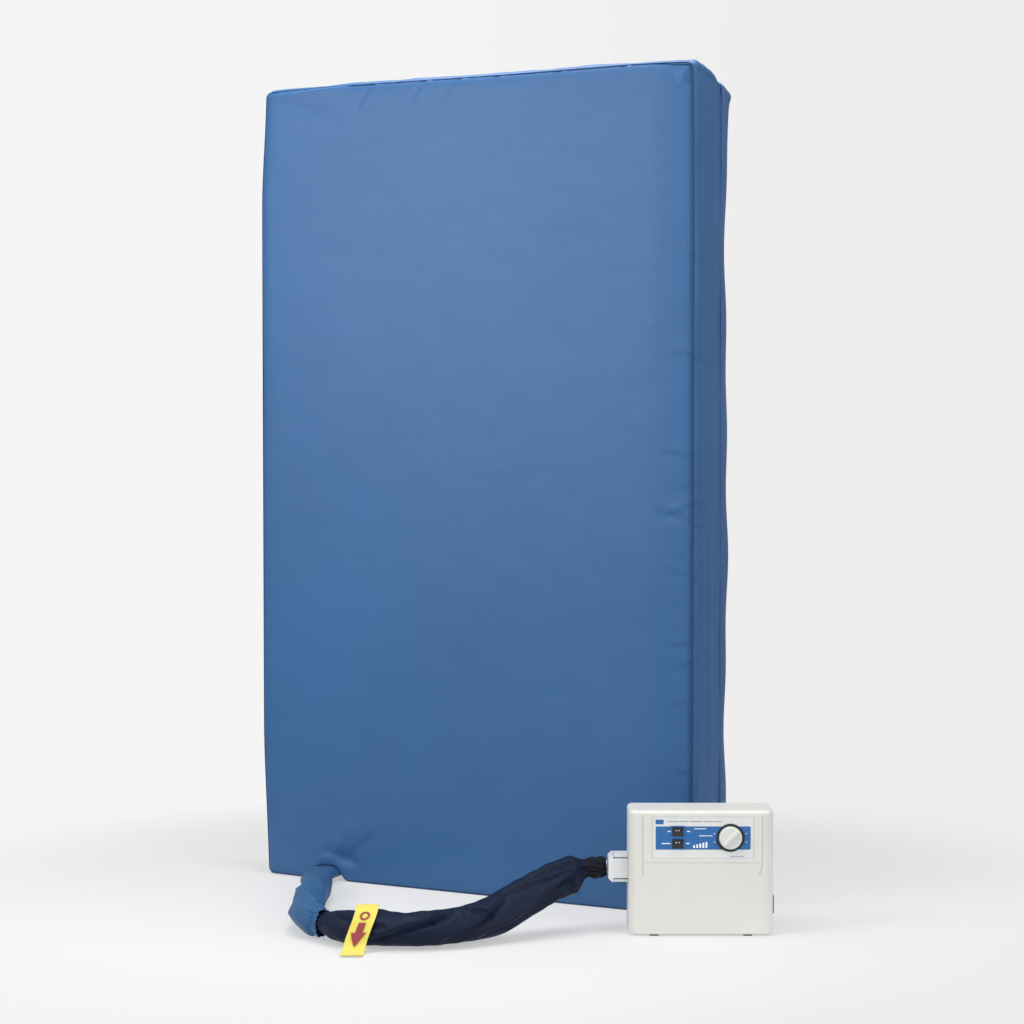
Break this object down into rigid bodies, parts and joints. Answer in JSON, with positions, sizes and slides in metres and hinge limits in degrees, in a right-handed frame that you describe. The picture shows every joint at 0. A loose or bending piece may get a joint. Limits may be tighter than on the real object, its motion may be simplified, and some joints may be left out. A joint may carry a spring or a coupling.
{
  "type": "pressure relief mattress",
  "caption": "Alternating-air pressure relief mattress standing on its foot end, with zipped stretch cover, inner air cells, sleeved air hose, quick-release strap and bedside pump.",
  "frame": {"origin": "middle of the mattress's foot end, on the floor that it stands on", "axes": "+Z along the mattress towards the head end, +X across its width to the side that the pump stands at, +Y from the patient's side to the base"},
  "size_m": [1.4492, 0.9868, 2],
  "materials": {
    "cover_cloth": "coated stretch cloth, satin blue",
    "base_cloth": "coated woven base cloth, near black",
    "zip_plastic": "black coil and tape",
    "zip_metal": "black enamelled slider",
    "foam": "open-cell foam",
    "bladder": "coated bladder film",
    "black_rubber": "matt black rubber",
    "clear_tube": "soft translucent tube",
    "webbing": "woven webbing",
    "buckle": "black acetal",
    "hose_jacket": "smooth black jacket",
    "blue_sleeve": "coated sleeve cloth, blue",
    "navy_sleeve": "coated sleeve cloth, navy",
    "black_elastic": "gathered elastic cloth",
    "yellow_strap": "printed yellow strap",
    "case_white": "fine moulded texture, warm white",
    "connector_white": "satin white moulding",
    "label_print": "printed overlay, white with a blue band",
    "knob_white": "satin white moulding",
    "dark_plastic": "dark switch plastic",
    "inlet_black": "black moulded inlet",
    "filter": "black reticulated foam",
    "hook_plastic": "grey glass-filled nylon",
    "foot_rubber": "grey rubber",
    "steel": "zinc-plated",
    "board": "green laminate",
    "alloy": "cast, as it left the mould",
    "magnet": "plated magnet bar"
  },
  "bodies": {
    "mattress": {"air_cell_01": "bladder", "air_cell_02": "bladder", "air_cell_03": "bladder", "air_cell_04": "bladder", "air_cell_05": "bladder", "air_cell_06": "bladder", "air_cell_07": "bladder", "air_cell_08": "bladder", "air_cell_09": "bladder", "air_cell_10": "bladder", "air_cell_11": "bladder", "air_cell_12": "bladder", "air_cell_13": "bladder", "air_cell_14": "bladder", "air_cell_15": "bladder", "air_cell_16": "bladder", "air_hose": "hose_jacket", "air_manifold_a": "clear_tube", "air_manifold_b": "clear_tube", "base_cover": "base_cloth", "base_straps": "webbing", "blue_sleeve": "blue_sleeve", "cover_zip": "zip_plastic", "foam_base": "foam", "foot_bolster": "foam", "head_bolster": "foam", "hose_connector": "connector_white", "navy_sleeve": "navy_sleeve", "outlet_gland": "black_rubber", "side_bolster_left": "foam", "side_bolster_right": "foam", "sleeve_cuff": "black_elastic", "strap_buckles": "buckle", "top_cover": "cover_cloth"},
    "pump": {"front_case": "case_white", "rear_case": "case_white", "control_label": "label_print", "knob_ring": "dark_plastic", "switch_bezel": "dark_plastic", "hose_socket": "connector_white", "mains_inlet": "inlet_black", "filter_foam": "filter", "pump_feet": "foot_rubber", "case_screws": "steel", "circuit_board": "board", "compressor_body": "alloy", "valve_body": "connector_white"},
    "zip_slider": {"zip_slider": "zip_metal"},
    "zip_pull": {"zip_pull": "zip_metal"},
    "pressure_knob": {"pressure_knob": "knob_white"},
    "power_rocker": {"power_rocker": "dark_plastic"},
    "mode_rocker": {"mode_rocker": "dark_plastic"},
    "filter_cover": {"filter_cover": "case_white"},
    "hook_left": {"hook_left": "hook_plastic"},
    "hook_right": {"hook_right": "hook_plastic"},
    "compressor_armature": {"compressor_armature": "magnet"},
    "valve_rotor": {"valve_rotor": "dark_plastic"},
    "latch_lever_top": {"latch_lever_top": "connector_white"},
    "latch_lever_bottom": {"latch_lever_bottom": "connector_white"},
    "cpr_strap": {"cpr_strap": "yellow_strap"}
  },
  "joints": [
    {"name": "zip_slide", "type": "slide", "parent": "mattress", "child": "zip_slider", "axis": [0, 0, -1], "range_m": [0, 1.86]},
    {"name": "zip_pull_swing", "type": "hinge", "parent": "zip_slider", "child": "zip_pull", "pos_m": [0.5935, 0.071, 1.935], "axis": [1, 0, 0], "range_deg": [0, 95]},
    {"name": "cpr_strap_pull", "type": "slide", "parent": "mattress", "child": "cpr_strap", "axis": [0.4909, -0.8712, 0], "range_m": [0, 0.02]},
    {"name": "latch_top_squeeze", "type": "hinge", "parent": "mattress", "child": "latch_lever_top", "pos_m": [0.51268, -0.32539, 0.1808], "axis": [-0.4909, 0.8712, 0], "range_deg": [0, 3], "stiffness_Nm_per_rad": 0.6, "springref_deg": -2.86},
    {"name": "latch_bottom_squeeze", "type": "hinge", "parent": "mattress", "child": "latch_lever_bottom", "pos_m": [0.51268, -0.32539, 0.1172], "axis": [0.4909, -0.8712, 0], "range_deg": [0, 3], "stiffness_Nm_per_rad": 0.6, "springref_deg": -2.86},
    {"name": "pump_unplug", "type": "slide", "parent": "mattress", "child": "pump", "axis": [0.8712, 0.4909, 0], "range_m": [0, 0.03]},
    {"name": "knob_turn", "type": "hinge", "parent": "pump", "child": "pressure_knob", "pos_m": [0.77207, -0.25385, 0.2246], "axis": [-0.4909, 0.8712, 0], "range_deg": [-195, 105]},
    {"name": "power_rocker_tilt", "type": "hinge", "parent": "pump", "child": "power_rocker", "pos_m": [0.66723, -0.31062, 0.2366], "axis": [0.8712, 0.4909, 0], "range_deg": [-6, 6]},
    {"name": "mode_rocker_tilt", "type": "hinge", "parent": "pump", "child": "mode_rocker", "pos_m": [0.66723, -0.31062, 0.2094], "axis": [0.8712, 0.4909, 0], "range_deg": [-6, 6]},
    {"name": "filter_cover_pull", "type": "slide", "parent": "pump", "child": "filter_cover", "axis": [-0.4909, 0.8712, 0], "range_m": [0, 0.02]},
    {"name": "hook_left_fold", "type": "hinge", "parent": "pump", "child": "hook_left", "pos_m": [0.56302, -0.2098, 0.205], "axis": [0.8712, 0.4909, 0], "range_deg": [-95, 0]},
    {"name": "hook_right_fold", "type": "hinge", "parent": "pump", "child": "hook_right", "pos_m": [0.72855, -0.11652, 0.205], "axis": [0.8712, 0.4909, 0], "range_deg": [-95, 0]},
    {"name": "armature_stroke", "type": "slide", "parent": "pump", "child": "compressor_armature", "axis": [0.8712, 0.4909, 0], "range_m": [-0.0015, 0.0015], "stiffness_N_per_m": 2000},
    {"name": "valve_spin", "type": "hinge", "parent": "pump", "child": "valve_rotor", "pos_m": [0.76503, -0.17516, 0.14], "axis": [-0.4909, 0.8712, 0], "continuous": true}
  ]
}
